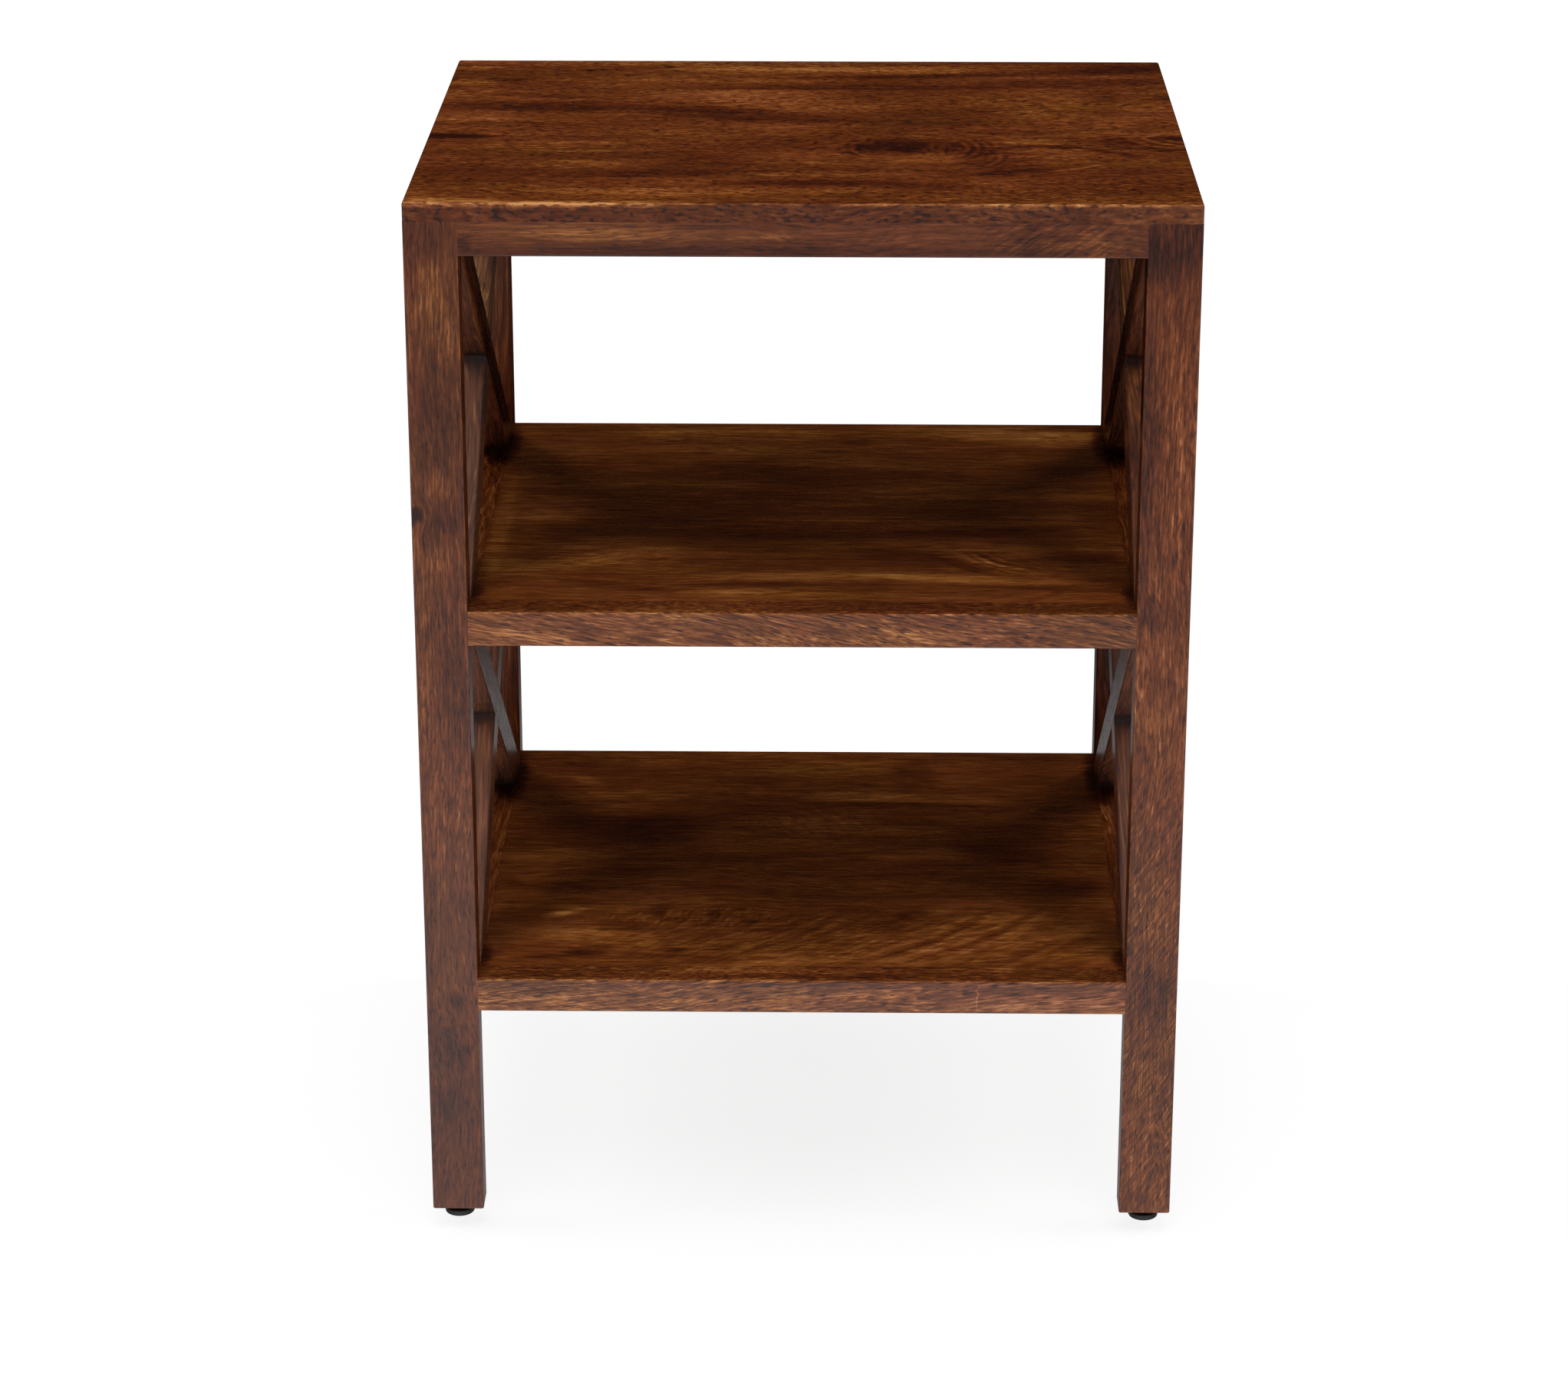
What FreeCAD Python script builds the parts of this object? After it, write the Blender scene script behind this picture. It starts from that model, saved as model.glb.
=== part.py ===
# End table: a solid-wood top over two full-depth shelves, carried by two side frames of legs,
# rails and crossed braces, on four screw-in levelling feet.
# Millimetres, +Z up, origin on the floor under the middle of the table, front towards -Y.
import FreeCAD, Part
import math
import os

# Overall size, and the stack of levels from the floor up
WIDTH = 450.0
DEPTH = 380.0
FLOOR_GAP = 6.0              # floor to the leg ends with the feet screwed right in
UNDER_SHELF = 133.0          # leg ends to the lower shelf
SHELF_THICKNESS = 21.0
LOWER_TIER = 212.0           # clear height over the lower shelf
UPPER_TIER = 212.0           # clear height over the upper shelf
TOP_RAIL_HEIGHT = 20.0
TOP_THICKNESS = 11.0

# Timber sections
LEG_WIDTH = 31.0             # across the table
LEG_DEPTH = 21.0             # front to back
CROSS_RAIL_THICKNESS = 21.0  # front and back rails under the top
BRACE_WIDTH = 25.0           # in the plane of the side frame
BRACE_THICKNESS = 21.0       # across that plane, flush with the inside of the legs

# Boards of the glued-up panels, front to back
TOP_BOARD_SHARES = {"front": 62, "front_middle": 104, "back_middle": 133, "back": 81}
SHELF_FRONT_STRIP = 21.0
SHELF_BACK_STRIP = 16.0
SHELF_BOARD_SHARES = {"front_board": 94, "front_middle_board": 97,
                      "back_middle_board": 76, "back_board": 76}

# Eased arrises
ARRIS = 1.2                  # legs, rails, braces and shelf edges
TOP_ARRIS = 1.5
TOP_CORNER = 2.0             # corners of the top, seen from above

# Joinery
GLUE_GAP = 0.1               # all round a dowel, a tenon, a screw or an insert
END_GAP = 0.5                # past the end of a dowel or a tenon
TENON_THICKNESS = 8.0
TENON_HEIGHT = 12.0
SIDE_TENON_LENGTH = 12.0
TENON_WALL = 1.0             # wood left between two mortises that meet in one leg
SHELF_DOWEL = 8.0
SHELF_DOWEL_LENGTH = 30.0
BRACE_DOWEL = 6.0
BRACE_DOWEL_IN_BRACE = 11.0
DOWEL_WALL = 0.5             # wood left between the holes of a brace dowel and a shelf dowel
DOWEL_CHAMFER = 0.8

# Screws that hold the top down, driven up through its rails
SCREW_LENGTH = 25.0
SCREW_SHANK = 4.0
SCREW_HEAD = 8.0
SCREW_RECESS = 2.0           # head below the rail's underside
SCREW_SLOT = 1.0
SCREW_SLOT_LENGTH = 4.4
SCREW_SLOT_DEPTH = 1.6
SIDE_SCREW_PITCH = 160.0
CROSS_SCREW_PITCH = 240.0

# Levelling feet
PAD_DIAMETER = 18.0
PAD_HEIGHT = 3.6
PAD_FOOT_ROUND = 1.2
PAD_TOP_ROUND = 0.6
BALL_DIAMETER = 3.2
BALL_HEIGHT = 2.2            # centre of the ball above the floor
BALL_GAP = 0.15
NECK_DIAMETER = 2.2
SOCKET_MOUTH = 2.8
COLLAR_ACROSS_FLATS = 10.0
COLLAR_GAP = 0.3             # collar to pad below it and to leg above it
STEM_DIAMETER = 6.0
STEM_LENGTH = 20.0
STEM_TIP = 0.9
STEM_GAP = 0.1
STEM_WELL = 2.0              # room past the stem's tip
INSERT_DIAMETER = 10.0
INSERT_LENGTH = 13.0

# Levels
LOWER_SHELF = FLOOR_GAP + UNDER_SHELF
UPPER_SHELF = LOWER_SHELF + SHELF_THICKNESS + LOWER_TIER
TOP_RAIL = UPPER_SHELF + SHELF_THICKNESS + UPPER_TIER
TOP_UNDERSIDE = TOP_RAIL + TOP_RAIL_HEIGHT
TOP_SURFACE = TOP_UNDERSIDE + TOP_THICKNESS

# Planes of the side frames
LEG_X = (WIDTH - LEG_WIDTH) / 2
LEG_Y = (DEPTH - LEG_DEPTH) / 2
INSIDE_X = WIDTH / 2 - LEG_WIDTH
SPAN_Y = DEPTH / 2 - LEG_DEPTH
CROSS_TENON_LENGTH = (LEG_WIDTH - TENON_THICKNESS) / 2 - GLUE_GAP - END_GAP - TENON_WALL
BRACE_DOWEL_IN_RAIL = (SHELF_THICKNESS - SHELF_DOWEL) / 2 - GLUE_GAP - END_GAP - DOWEL_WALL

SIDES = {"left": -1, "right": 1}
ENDS = {"front": -1, "back": 1}
SHELVES = {"lower": LOWER_SHELF, "upper": UPPER_SHELF}
TIERS = {"lower": (LOWER_SHELF + SHELF_THICKNESS, UPPER_SHELF),
         "upper": (UPPER_SHELF + SHELF_THICKNESS, TOP_RAIL)}
RAIL_LEVELS = {"lower": (LOWER_SHELF, SHELF_THICKNESS), "upper": (UPPER_SHELF, SHELF_THICKNESS),
               "top": (TOP_RAIL, TOP_RAIL_HEIGHT)}

X_AXIS = FreeCAD.Vector(1, 0, 0)
Z_AXIS = FreeCAD.Vector(0, 0, 1)


def box(x_limits, y_limits, z_limits):
    """Box between two limits on each axis, given in either order."""
    low = FreeCAD.Vector(min(x_limits), min(y_limits), min(z_limits))
    high = FreeCAD.Vector(max(x_limits), max(y_limits), max(z_limits))
    size = high - low
    return Part.makeBox(size.x, size.y, size.z, low)


def eased(shape, radius, chosen):
    """Shape with the edges whose middle passes the test rounded."""
    return shape.makeFillet(radius, [edge for edge in shape.Edges if chosen(edge.CenterOfMass)])


def near(value, target):
    """True where two places are the same within a hundredth of a millimetre."""
    return abs(value - target) < 0.01


def dowel(middle, axis, diameter, below, above):
    """Dowel with chamfered ends that reaches below and above its middle along the axis."""
    pin = Part.makeCylinder(diameter / 2, below + above, middle - axis * below, axis)
    ends = [edge for edge in pin.Edges if len(edge.Vertexes) == 1]
    return pin.makeChamfer(DOWEL_CHAMFER, ends)


def dowel_hole(middle, axis, diameter, below, above):
    """Hole for a dowel, with a glue gap all round and room past each end."""
    length = below + above + 2 * END_GAP
    start = middle - axis * (below + END_GAP)
    return Part.makeCylinder(diameter / 2 + GLUE_GAP, length, start, axis)


def board_limits(start, end, shares):
    """Limits of boards that fill the space from start to end in the given shares."""
    scale = (end - start) / sum(shares.values())
    limits = {}
    for name, share in shares.items():
        limits[name] = (start, start + share * scale)
        start = limits[name][1]
    return limits


def shelf_board_limits():
    """Front-to-back limits of the boards of a shelf."""
    front = -DEPTH / 2 + SHELF_FRONT_STRIP
    back = DEPTH / 2 - SHELF_BACK_STRIP
    limits = {"front_strip": (-DEPTH / 2, front)}
    limits.update(board_limits(front, back, SHELF_BOARD_SHARES))
    limits["back_strip"] = (back, DEPTH / 2)
    return limits


def shelf_dowels(shelf, make):
    """Dowels, or their holes, from the boards of a shelf into the rails at its two ends."""
    boards = shelf_board_limits()
    places = [sum(boards[name]) / 2 for name in SHELF_BOARD_SHARES]
    height = SHELVES[shelf] + SHELF_THICKNESS / 2
    half = SHELF_DOWEL_LENGTH / 2
    return [make(FreeCAD.Vector(side * INSIDE_X, y, height), X_AXIS, SHELF_DOWEL, half, half)
            for side in SIDES.values() for y in places]


def brace_slope(tier):
    """Angle of a brace whose level ends fill the opening's opposite corners.

    With span S, height G and width B, S sin(a) - G cos(a) = B.
    """
    span = 2 * SPAN_Y
    height = TIERS[tier][1] - TIERS[tier][0]
    return math.atan2(height, span) + math.asin(BRACE_WIDTH / math.hypot(span, height))


def brace_foot(tier):
    """Length of a brace's level end along the rail."""
    return BRACE_WIDTH / math.sin(brace_slope(tier))


def brace_bar(side, tier, fall, x_limits):
    """Plain bar across an opening: fall 1 runs from top front to bottom back, -1 the other way."""
    bottom, top = TIERS[tier]
    foot = brace_foot(tier)
    outline = [(-SPAN_Y, top), (foot - SPAN_Y, top), (SPAN_Y, bottom), (SPAN_Y - foot, bottom)]
    start, end = (side * x for x in x_limits)
    corners = [FreeCAD.Vector(start, fall * y, z) for y, z in outline]
    face = Part.Face(Part.makePolygon(corners + corners[:1]))
    return face.extrude(X_AXIS * (end - start))


def brace(side, tier, fall):
    """Brace with eased long edges, half-lapped where it crosses its partner.

    The bar that falls from the front runs through on the inside of the frame.
    """
    inner, outer = INSIDE_X, INSIDE_X + BRACE_THICKNESS
    middle = (inner + outer) / 2
    bar = brace_bar(side, tier, fall, (inner, outer))
    bottom, top = TIERS[tier]
    bar = eased(bar, ARRIS, lambda p: bottom + ARRIS < p.z < top - ARRIS)
    notch = (middle, outer) if fall > 0 else (inner, middle)
    bar = bar.cut(brace_bar(side, tier, -fall, notch))
    return bar.cut(Part.makeCompound(brace_dowels(side, dowel_hole)))


def brace_dowels(side, make):
    """Upright dowels, or their holes, in both ends of the four braces of one side."""
    x = side * (INSIDE_X + BRACE_THICKNESS / 2)
    pins = []
    for tier, (bottom, top) in TIERS.items():
        drift = BRACE_DOWEL_IN_BRACE / 2 / math.tan(brace_slope(tier))
        y = SPAN_Y - brace_foot(tier) / 2 - drift
        for end in ENDS.values():
            low = FreeCAD.Vector(x, end * y, bottom)
            high = FreeCAD.Vector(x, end * y, top)
            pins.append(make(low, Z_AXIS, BRACE_DOWEL, BRACE_DOWEL_IN_RAIL, BRACE_DOWEL_IN_BRACE))
            pins.append(make(high, Z_AXIS, BRACE_DOWEL, BRACE_DOWEL_IN_BRACE, BRACE_DOWEL_IN_RAIL))
    return pins


def side_tenon(side, end, level, gap=0.0, end_gap=0.0):
    """Stub tenon at one end of a side rail, or its mortise when it is given gaps."""
    bottom, height = RAIL_LEVELS[level]
    half_x = TENON_THICKNESS / 2 + gap
    half_z = TENON_HEIGHT / 2 + gap
    middle = bottom + height / 2
    reach = SPAN_Y + SIDE_TENON_LENGTH + end_gap
    return box((side * LEG_X - half_x, side * LEG_X + half_x), (end * SPAN_Y, end * reach),
               (middle - half_z, middle + half_z))


def cross_depth(end, level):
    """Depth, front to back, of what joins two legs: a rail under the top, a strip at a shelf."""
    if level == "top":
        return CROSS_RAIL_THICKNESS
    return SHELF_FRONT_STRIP if end < 0 else SHELF_BACK_STRIP


def cross_tenon(side, end, level, gap=0.0, end_gap=0.0):
    """Stub tenon at one end of a cross rail or shelf strip, or its mortise when given gaps."""
    bottom, height = RAIL_LEVELS[level]
    half_y = TENON_THICKNESS / 2 + gap
    half_z = TENON_HEIGHT / 2 + gap
    y = end * (DEPTH - cross_depth(end, level)) / 2
    middle = bottom + height / 2
    reach = INSIDE_X + CROSS_TENON_LENGTH + end_gap
    return box((side * INSIDE_X, side * reach), (y - half_y, y + half_y),
               (middle - half_z, middle + half_z))


def screw_places():
    """Points on the rails' undersides under the heads of the screws."""
    cross_y = (DEPTH - CROSS_RAIL_THICKNESS) / 2
    places = [(side * LEG_X, end * SIDE_SCREW_PITCH / 2)
              for side in SIDES.values() for end in ENDS.values()]
    places += [(side * CROSS_SCREW_PITCH / 2, end * cross_y)
               for side in SIDES.values() for end in ENDS.values()]
    return [FreeCAD.Vector(x, y, TOP_RAIL) for x, y in places]


def turned(profile, base):
    """Solid of revolution about an upright axis through base, from (radius, height) points."""
    points = [FreeCAD.Vector(radius, 0, height) for radius, height in profile]
    face = Part.Face(Part.makePolygon(points + points[:1]))
    solid = face.revolve(FreeCAD.Vector(0, 0, 0), Z_AXIS, 360)
    solid.translate(base)
    return solid


def screw(place):
    """Countersunk wood screw, point up, with a crossed recess in its head."""
    head, shank = SCREW_HEAD / 2, SCREW_SHANK / 2
    cone = head - shank
    profile = [(0, 0), (head, 0), (shank, cone), (shank, SCREW_LENGTH - 2 * shank), (0, SCREW_LENGTH)]
    body = turned(profile, place + Z_AXIS * SCREW_RECESS)
    half, arm = SCREW_SLOT / 2, SCREW_SLOT_LENGTH / 2
    bottom = place.z + SCREW_RECESS
    depth = (bottom, bottom + SCREW_SLOT_DEPTH)
    for x_half, y_half in ((half, arm), (arm, half)):
        body = body.cut(box((place.x - x_half, place.x + x_half),
                            (place.y - y_half, place.y + y_half), depth))
    return body


def screw_hole(place):
    """Counterbored and countersunk hole for a screw, from the rail's underside up into the top."""
    head, shank = SCREW_HEAD / 2 + GLUE_GAP, SCREW_SHANK / 2 + GLUE_GAP
    cone = head - shank
    tip = SCREW_RECESS + SCREW_LENGTH
    profile = [(0, 0), (head, 0), (head, SCREW_RECESS), (shank, SCREW_RECESS + cone),
               (shank, tip - SCREW_SHANK), (0, tip + GLUE_GAP)]
    return turned(profile, place)


def screw_holes():
    """All the screw holes as one cutting shape."""
    return Part.makeCompound([screw_hole(place) for place in screw_places()])


def leg(side, end):
    """Oblong leg, eased except where a rail or a shelf meets it flush, with its sockets."""
    x, y = side * LEG_X, end * LEG_Y
    half_x, half_y = LEG_WIDTH / 2, LEG_DEPTH / 2
    x_limits, y_limits = (x - half_x, x + half_x), (y - half_y, y + half_y)
    post = box(x_limits, y_limits, (FLOOR_GAP, TOP_UNDERSIDE))
    post = eased(post, ARRIS, lambda p: not near(p.z, TOP_UNDERSIDE))
    flush = []
    for bottom, height in RAIL_LEVELS.values():
        z_limits = (bottom, bottom + height)
        flush.append(box((x, x - side * half_x), y_limits, z_limits))
        flush.append(box(x_limits, (y, y - end * half_y), z_limits))
    post = post.fuse(flush).removeSplitter()
    sockets = [tenon(side, end, level, GLUE_GAP, END_GAP) for level in RAIL_LEVELS
               for tenon in (side_tenon, cross_tenon)]
    sockets.append(foot_socket(side, end))
    return post.cut(Part.makeCompound(sockets))


def side_rail(side, level):
    """Rail between the two legs of a side, with a stub tenon at each end."""
    bottom, height = RAIL_LEVELS[level]
    outside = side * WIDTH / 2
    rail = box((side * INSIDE_X, outside), (-SPAN_Y, SPAN_Y), (bottom, bottom + height))
    if level == "top":
        rail = eased(rail, ARRIS, lambda p: near(p.y, 0) and near(p.z, bottom))
    else:
        rail = eased(rail, ARRIS, lambda p: near(p.y, 0) and near(p.x, outside))
    rail = rail.fuse([side_tenon(side, end, level) for end in ENDS.values()]).removeSplitter()
    holes = brace_dowels(side, dowel_hole)
    if level == "top":
        holes.append(screw_holes())
    else:
        holes += shelf_dowels(level, dowel_hole)
    return rail.cut(Part.makeCompound(holes))


def cross_rail(end):
    """Front or back rail under the top, with a stub tenon at each end."""
    face = end * DEPTH / 2
    rail = box((-INSIDE_X, INSIDE_X), (face, face - end * CROSS_RAIL_THICKNESS),
               (TOP_RAIL, TOP_UNDERSIDE))
    rail = eased(rail, ARRIS, lambda p: near(p.x, 0) and near(p.z, TOP_RAIL))
    rail = rail.fuse([cross_tenon(side, end, "top") for side in SIDES.values()]).removeSplitter()
    return rail.cut(screw_holes())


def top_boards():
    """Boards of the top, cut from one slab with rounded corners and eased upper edges."""
    slab = box((-WIDTH / 2, WIDTH / 2), (-DEPTH / 2, DEPTH / 2), (TOP_UNDERSIDE, TOP_SURFACE))
    middle = (TOP_UNDERSIDE + TOP_SURFACE) / 2
    slab = eased(slab, TOP_CORNER, lambda p: near(p.z, middle))
    slab = eased(slab, TOP_ARRIS, lambda p: near(p.z, TOP_SURFACE))
    slab = slab.cut(screw_holes())
    limits = board_limits(-DEPTH / 2, DEPTH / 2, TOP_BOARD_SHARES)
    return {name: slab.common(box((-WIDTH, WIDTH), y_limits, (0, 2 * TOP_SURFACE)))
            for name, y_limits in limits.items()}


def shelf_boards(shelf):
    """Boards of a shelf, cut from one panel with eased front and back edges.

    The two outer strips also have stub tenons that enter the legs.
    """
    bottom = SHELVES[shelf]
    panel = box((-INSIDE_X, INSIDE_X), (-DEPTH / 2, DEPTH / 2), (bottom, bottom + SHELF_THICKNESS))
    panel = eased(panel, ARRIS, lambda p: near(p.x, 0))
    panel = panel.cut(Part.makeCompound(shelf_dowels(shelf, dowel_hole)))
    boards = {name: panel.common(box((-WIDTH, WIDTH), y_limits, (0, 2 * TOP_SURFACE)))
              for name, y_limits in shelf_board_limits().items()}
    for end_name, end in ENDS.items():
        tenons = [cross_tenon(side, end, shelf) for side in SIDES.values()]
        strip = boards[f"{end_name}_strip"].fuse(tenons)
        boards[f"{end_name}_strip"] = strip.removeSplitter()
    return boards


def upright(radius, bottom, top, side, end):
    """Upright cylinder on the axis of one leg."""
    base = FreeCAD.Vector(side * LEG_X, end * LEG_Y, bottom)
    return Part.makeCylinder(radius, top - bottom, base, Z_AXIS)


def collar_limits():
    """Bottom and top of the hexagon on a foot's stem."""
    return PAD_HEIGHT + COLLAR_GAP, FLOOR_GAP - COLLAR_GAP


def foot_socket(side, end):
    """Hole up into a leg for a foot's insert and the tip of its stem."""
    insert = upright(INSERT_DIAMETER / 2 + GLUE_GAP, FLOOR_GAP, FLOOR_GAP + INSERT_LENGTH, side, end)
    depth = collar_limits()[1] + STEM_LENGTH + STEM_WELL
    return insert.fuse(upright(STEM_DIAMETER / 2 + STEM_GAP, FLOOR_GAP, depth, side, end))


def foot_insert(side, end):
    """Threaded insert in the end of a leg."""
    sleeve = upright(INSERT_DIAMETER / 2, FLOOR_GAP, FLOOR_GAP + INSERT_LENGTH, side, end)
    bore = upright(STEM_DIAMETER / 2 + STEM_GAP, 0, TOP_SURFACE, side, end)
    return sleeve.cut(bore)


def foot_ball(radius, side, end):
    """Ball of a foot's swivel."""
    centre = FreeCAD.Vector(side * LEG_X, end * LEG_Y, BALL_HEIGHT)
    return Part.makeSphere(radius, centre)


def foot_pad(side, end):
    """Round pad that rests on the floor, with a socket for the stem's ball."""
    pad = upright(PAD_DIAMETER / 2, 0, PAD_HEIGHT, side, end)
    pad = eased(pad, PAD_FOOT_ROUND, lambda p: near(p.z, 0))
    pad = eased(pad, PAD_TOP_ROUND, lambda p: near(p.z, PAD_HEIGHT))
    pad = pad.cut(foot_ball(BALL_DIAMETER / 2 + BALL_GAP, side, end))
    return pad.cut(upright(SOCKET_MOUTH / 2, BALL_HEIGHT, PAD_HEIGHT, side, end))


def foot_stem(side, end):
    """Threaded stem of a foot, with the hexagon that turns it and the ball that swivels."""
    bottom, top = collar_limits()
    radius = COLLAR_ACROSS_FLATS / math.sqrt(3)
    corners = [FreeCAD.Vector(side * LEG_X + radius * math.cos(math.pi / 3 * k),
                              end * LEG_Y + radius * math.sin(math.pi / 3 * k), bottom)
               for k in range(7)]
    collar = Part.Face(Part.makePolygon(corners)).extrude(Z_AXIS * (top - bottom))
    stem = upright(STEM_DIAMETER / 2, top, top + STEM_LENGTH, side, end)
    tip = [edge for edge in stem.Edges if near(edge.CenterOfMass.z, top + STEM_LENGTH)]
    stem = stem.makeChamfer(STEM_TIP, tip)
    neck = upright(NECK_DIAMETER / 2, BALL_HEIGHT, bottom, side, end)
    return collar.fuse([stem, neck, foot_ball(BALL_DIAMETER / 2, side, end)]).removeSplitter()


def table_nodes():
    """Every piece of the table by name."""
    nodes = {f"top_board_{name}": board for name, board in top_boards().items()}
    for shelf in SHELVES:
        nodes.update({f"{shelf}_shelf_{name}": board for name, board in shelf_boards(shelf).items()})
        nodes[f"{shelf}_shelf_dowels"] = Part.makeCompound(shelf_dowels(shelf, dowel))
    for end_name, end in ENDS.items():
        nodes[f"top_rail_{end_name}"] = cross_rail(end)
    for side_name, side in SIDES.items():
        for level in RAIL_LEVELS:
            nodes[f"{level}_rail_{side_name}"] = side_rail(side, level)
        for tier in TIERS:
            nodes[f"{tier}_brace_{side_name}_falling"] = brace(side, tier, 1)
            nodes[f"{tier}_brace_{side_name}_rising"] = brace(side, tier, -1)
        nodes[f"brace_dowels_{side_name}"] = Part.makeCompound(brace_dowels(side, dowel))
        for end_name, end in ENDS.items():
            nodes[f"leg_{end_name}_{side_name}"] = leg(side, end)
            nodes[f"foot_pad_{end_name}_{side_name}"] = foot_pad(side, end)
            nodes[f"foot_stem_{end_name}_{side_name}"] = foot_stem(side, end)
    nodes["foot_inserts"] = Part.makeCompound([foot_insert(side, end) for side in SIDES.values()
                                               for end in ENDS.values()])
    nodes["top_screws"] = Part.makeCompound([screw(place) for place in screw_places()])
    return nodes


os.makedirs("parts", exist_ok=True)
for node, shape in table_nodes().items():
    solids = shape.Solids
    print(node, len(solids), "valid" if shape.isValid() else "NOT VALID", round(shape.Volume, 1))
    piece = solids[0] if len(solids) == 1 else Part.makeCompound(solids)
    piece.exportStep(f"parts/{node}.step")
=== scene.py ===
import math

import bpy
from mathutils import Matrix, Vector


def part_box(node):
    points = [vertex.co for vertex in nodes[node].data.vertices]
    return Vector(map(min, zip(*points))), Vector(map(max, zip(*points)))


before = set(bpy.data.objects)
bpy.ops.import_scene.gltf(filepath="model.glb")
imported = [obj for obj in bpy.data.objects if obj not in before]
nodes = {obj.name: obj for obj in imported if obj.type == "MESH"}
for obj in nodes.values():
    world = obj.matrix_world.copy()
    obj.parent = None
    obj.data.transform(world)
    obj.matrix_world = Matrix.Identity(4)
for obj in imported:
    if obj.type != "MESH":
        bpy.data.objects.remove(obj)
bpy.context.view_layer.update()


# Legs: four upright posts of hardwood, wider across the table than they are deep.
# They are sawn from flat-cut stock, stained dark brown and sprayed with a satin lacquer, so the
# grain runs up the leg and shows short pores, streaks and cloudy stain.
class Socket:
    """A node socket. Sums of sockets and numbers add Math nodes to its tree."""

    def __init__(self, tree, socket=None):
        self.tree = tree
        self.socket = socket

    def node(self, kind, settings=None, inlets=None, outlet=0):
        """Adds a node of a kind, applies its settings, then fills its sockets by name or number."""
        node = self.tree.nodes.new("ShaderNode" + kind)
        for name, value in (settings or {}).items():
            if name == "stops":
                ramp = node.color_ramp
                while len(ramp.elements) < len(value):
                    ramp.elements.new(0.5)
                for element, (place, colour) in zip(ramp.elements, value):
                    element.position = place
                    element.color = colour
            else:
                setattr(node, name, value)
        for name, value in (inlets or {}).items():
            if isinstance(value, Socket):
                self.tree.links.new(value.socket, node.inputs[name])
            else:
                node.inputs[name].default_value = value
        return Socket(self.tree, node.outputs[outlet] if node.outputs else None)

    def math(self, operation, *terms):
        """One Math node on numbers or sockets."""
        return self.node("Math", {"operation": operation}, dict(enumerate(terms)))

    def vector(self, operation, *terms):
        """One Vector Math node on vectors or vector sockets."""
        return self.node("VectorMath", {"operation": operation}, dict(enumerate(terms)))

    def measure(self, operation, *terms):
        """One Vector Math node that gives a number at its second outlet, such as a distance."""
        return self.node("VectorMath", {"operation": operation}, dict(enumerate(terms)), 1)

    def turned(self, angles, shift=(0, 0, 0)):
        """This vector, turned about the three axes and then shifted."""
        return self.node("Mapping", {"vector_type": "POINT"},
                         {"Vector": self, "Rotation": angles, "Location": shift})

    def mix(self, share, other):
        """This colour with a share of another one, by the colour sockets of a Mix node."""
        return self.node("Mix", {"data_type": "RGBA", "clamp_factor": True},
                         {0: share, 6: self, 7: other}, 2)

    def ease(self, low, high, start=0.0, end=1.0):
        """Start below low, end above high, and a smooth step between them."""
        return self.node("MapRange", {"interpolation_type": "SMOOTHSTEP"},
                         {"Value": self, "From Min": low, "From Max": high,
                          "To Min": start, "To Max": end})

    def noise(self, lengths, detail, roughness=0.5):
        """Noise whose features measure about the given lengths in mm along the three axes."""
        place = self.vector("MULTIPLY", self, tuple(1.0 / length for length in lengths))
        return self.node("TexNoise", None, {"Vector": place, "Scale": 1.0, "Detail": detail,
                                            "Roughness": roughness})

    def __add__(self, other):
        return self.math("ADD", self, other)

    __radd__ = __add__

    def __sub__(self, other):
        return self.math("SUBTRACT", self, other)

    def __rsub__(self, other):
        return self.math("SUBTRACT", other, self)

    def __mul__(self, other):
        return self.math("MULTIPLY", self, other)

    __rmul__ = __mul__


def new_material(name):
    """A material with an empty node tree, and a Socket to start the tree from."""
    material = bpy.data.materials.new(name)
    material.use_nodes = True
    material.node_tree.nodes.clear()
    return material, Socket(material.node_tree)


def paint(*levels):
    """Linear colour of a paint chip that is given in levels from 0 to 255, by the sRGB curve."""
    shares = [level / 255 for level in levels]
    linear = [s / 12.92 if s <= 0.04045 else ((s + 0.055) / 1.055) ** 2.4 for s in shares]
    return (*linear, 1.0)


# The stain runs from dark to light on two ramps, a red and a tan one. Warmth is the share of tan.
RED_STAIN = [(0.0, paint(40, 14, 7)), (0.2, paint(64, 25, 10)), (0.4, paint(83, 37, 13)),
             (0.5, paint(93, 43, 16)), (0.6, paint(104, 51, 20)), (0.8, paint(130, 70, 34)),
             (1.0, paint(164, 102, 62))]
TAN_STAIN = [(0.0, paint(36, 16, 5)), (0.2, paint(60, 28, 8)), (0.4, paint(82, 41, 11)),
             (0.5, paint(94, 50, 15)), (0.6, paint(109, 61, 20)), (0.8, paint(146, 90, 36)),
             (1.0, paint(190, 134, 74))]
WARMTH_SIZE, WARMTH_RANGE = (110, 26, 26), 1.6

# The lacquer is satin, and duller where the wood is cloudy or has pores.
# A grey that is mixed into some colours as painted sheen: it stands for the light the lacquer reflects.
PAINTED_SHEEN_GREY = paint(137, 129, 126)
SATIN_ROUGHNESS, CLOUD_DULLING, PORE_DULLING = 0.26, 0.18, 0.5
LACQUER_IOR = 1.5

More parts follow.
